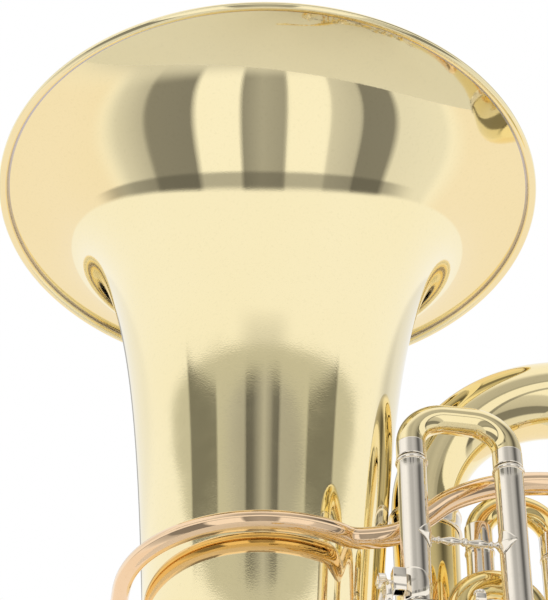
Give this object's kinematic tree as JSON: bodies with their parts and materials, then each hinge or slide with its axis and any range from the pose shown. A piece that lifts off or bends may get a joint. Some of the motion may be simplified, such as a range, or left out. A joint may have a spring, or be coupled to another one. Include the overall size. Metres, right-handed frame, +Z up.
{
  "type": "rotary valve tuba",
  "caption": "Tall polished brass tuba with a wide flared bell, conical bows, rotary valves worked by finger paddles, pull-out slides and a rose-brass leadpipe around the bell.",
  "frame": {"origin": "lowest point of the bottom bow's guard, midway between the bell axis and the outer branch", "axes": "+Z up, the way the bell opens; +X from the bell to the outer branch; -Y the valve side"},
  "size_m": [0.6141, 0.42, 0.9798],
  "materials": {
    "yellow_brass": "polished and lacquered",
    "gold_brass": "polished and lacquered",
    "nickel_silver": "polished",
    "steel": "bright",
    "silver_plate": "plated"
  },
  "bodies": {
    "horn": {"bell": "yellow_brass", "bottom_bow": "yellow_brass", "outer_branch": "yellow_brass", "top_bow": "yellow_brass", "second_branch": "yellow_brass", "inner_bottom_bow": "yellow_brass", "feed_branch": "yellow_brass", "exit_bow": "yellow_brass", "knuckle_1": "yellow_brass", "knuckle_2": "yellow_brass", "knuckle_3": "yellow_brass", "valve_casing_1": "yellow_brass", "valve_casing_2": "yellow_brass", "valve_casing_3": "yellow_brass", "valve_casing_4": "yellow_brass", "slide_sleeves_1": "yellow_brass", "slide_sleeves_2": "yellow_brass", "slide_sleeves_3": "yellow_brass", "slide_sleeves_4": "yellow_brass", "leadpipe": "gold_brass", "bell_ferrule": "nickel_silver", "bow_guard": "nickel_silver", "outer_ferrule_low": "nickel_silver", "outer_ferrule_top": "nickel_silver", "inner_ferrule_top": "nickel_silver", "tuning_sleeve_left": "nickel_silver", "tuning_sleeve_right": "nickel_silver", "tuning_brace": "nickel_silver", "lyre_socket": "nickel_silver", "receiver": "nickel_silver", "valve_cap_1": "nickel_silver", "valve_cap_2": "nickel_silver", "valve_cap_3": "nickel_silver", "valve_cap_4": "nickel_silver", "paddle_rack": "nickel_silver", "thumb_ring": "nickel_silver", "brace_low": "nickel_silver", "brace_high": "nickel_silver"},
    "tuning_slide": {"tuning_crook": "yellow_brass"},
    "lyre_thumbscrew": {"lyre_screw": "nickel_silver"},
    "mouthpiece_body": {"mouthpiece": "silver_plate"},
    "slide_1": {"slide_crook_1": "yellow_brass"},
    "rotor_1_body": {"rotor_1": "yellow_brass"},
    "paddle_1_body": {"paddle_1": "yellow_brass"},
    "link_1_body": {"link_1": "steel"},
    "slide_2": {"slide_crook_2": "yellow_brass"},
    "rotor_2_body": {"rotor_2": "yellow_brass"},
    "paddle_2_body": {"paddle_2": "yellow_brass"},
    "link_2_body": {"link_2": "steel"},
    "slide_3": {"slide_crook_3": "yellow_brass"},
    "rotor_3_body": {"rotor_3": "yellow_brass"},
    "paddle_3_body": {"paddle_3": "yellow_brass"},
    "link_3_body": {"link_3": "steel"},
    "slide_4": {"slide_crook_4": "yellow_brass"},
    "rotor_4_body": {"rotor_4": "yellow_brass"},
    "paddle_4_body": {"paddle_4": "yellow_brass"},
    "link_4_body": {"link_4": "steel"}
  },
  "joints": [
    {"name": "tuning_slide_pull", "type": "slide", "parent": "horn", "child": "tuning_slide", "axis": [0, 0, 1], "range_m": [0, 0.085]},
    {"name": "slide_1_pull", "type": "slide", "parent": "horn", "child": "slide_1", "axis": [0, 0, 1], "range_m": [0, 0.06]},
    {"name": "slide_2_pull", "type": "slide", "parent": "horn", "child": "slide_2", "axis": [0, 0, 1], "range_m": [0, 0.05]},
    {"name": "slide_3_pull", "type": "slide", "parent": "horn", "child": "slide_3", "axis": [-1, 0, 0], "range_m": [0, 0.045]},
    {"name": "slide_4_pull", "type": "slide", "parent": "horn", "child": "slide_4", "axis": [-1, 0, 0], "range_m": [0, 0.04]},
    {"name": "paddle_1_press", "type": "hinge", "parent": "horn", "child": "paddle_1_body", "pos_m": [-0.068, -0.145, 0.50707], "axis": [0, 0, -1], "range_deg": [0, 20.25], "stiffness_Nm_per_rad": 0.6, "springref_deg": -17.19},
    {"name": "link_1_turn", "type": "hinge", "parent": "paddle_1_body", "child": "link_1_body", "pos_m": [-0.07507, -0.10543, 0.50707], "axis": [0, 0, -1], "range_deg": [-20.3, 0.05]},
    {"name": "rotor_1_turn", "type": "hinge", "parent": "horn", "child": "rotor_1_body", "pos_m": [0.06, -0.06, 0.5], "axis": [0, 1, 0], "range_deg": [-0.1, 90.1]},
    {"name": "paddle_2_press", "type": "hinge", "parent": "horn", "child": "paddle_2_body", "pos_m": [-0.068, -0.145, 0.45007], "axis": [0, 0, -1], "range_deg": [0, 20.25], "stiffness_Nm_per_rad": 0.6, "springref_deg": -17.19},
    {"name": "link_2_turn", "type": "hinge", "parent": "paddle_2_body", "child": "link_2_body", "pos_m": [-0.07507, -0.10543, 0.45007], "axis": [0, 0, -1], "range_deg": [-20.3, 0.05]},
    {"name": "rotor_2_turn", "type": "hinge", "parent": "horn", "child": "rotor_2_body", "pos_m": [0.06, -0.06, 0.443], "axis": [0, 1, 0], "range_deg": [-0.1, 90.1]},
    {"name": "paddle_3_press", "type": "hinge", "parent": "horn", "child": "paddle_3_body", "pos_m": [-0.068, -0.145, 0.39307], "axis": [0, 0, -1], "range_deg": [0, 20.25], "stiffness_Nm_per_rad": 0.6, "springref_deg": -17.19},
    {"name": "link_3_turn", "type": "hinge", "parent": "paddle_3_body", "child": "link_3_body", "pos_m": [-0.07507, -0.10543, 0.39307], "axis": [0, 0, -1], "range_deg": [-20.3, 0.05]},
    {"name": "rotor_3_turn", "type": "hinge", "parent": "horn", "child": "rotor_3_body", "pos_m": [0.06, -0.06, 0.386], "axis": [0, 1, 0], "range_deg": [-0.1, 90.1]},
    {"name": "paddle_4_press", "type": "hinge", "parent": "horn", "child": "paddle_4_body", "pos_m": [-0.068, -0.145, 0.33607], "axis": [0, 0, -1], "range_deg": [0, 20.25], "stiffness_Nm_per_rad": 0.6, "springref_deg": -17.19},
    {"name": "link_4_turn", "type": "hinge", "parent": "paddle_4_body", "child": "link_4_body", "pos_m": [-0.07507, -0.10543, 0.33607], "axis": [0, 0, -1], "range_deg": [-20.3, 0.05]},
    {"name": "rotor_4_turn", "type": "hinge", "parent": "horn", "child": "rotor_4_body", "pos_m": [0.06, -0.06, 0.329], "axis": [0, 1, 0], "range_deg": [-0.1, 90.1]},
    {"name": "lyre_screw_turn", "type": "hinge", "parent": "horn", "child": "lyre_thumbscrew", "pos_m": [-0.1185, -0.1285, 0.5515], "axis": [1, 0, 0], "continuous": true},
    {"name": "mouthpiece_pull", "type": "slide", "parent": "horn", "child": "mouthpiece_body", "axis": [0.0549, 0.9877, 0.1463], "range_m": [0, 0.03]}
  ],
  "couplings": [
    {"joint": "link_1_turn", "follows": "paddle_1_press", "ratio": -1},
    {"joint": "rotor_1_turn", "follows": "paddle_1_press", "ratio": 4.4444},
    {"joint": "link_2_turn", "follows": "paddle_2_press", "ratio": -1},
    {"joint": "rotor_2_turn", "follows": "paddle_2_press", "ratio": 4.4444},
    {"joint": "link_3_turn", "follows": "paddle_3_press", "ratio": -1},
    {"joint": "rotor_3_turn", "follows": "paddle_3_press", "ratio": 4.4444},
    {"joint": "link_4_turn", "follows": "paddle_4_press", "ratio": -1},
    {"joint": "rotor_4_turn", "follows": "paddle_4_press", "ratio": 4.4444}
  ]
}
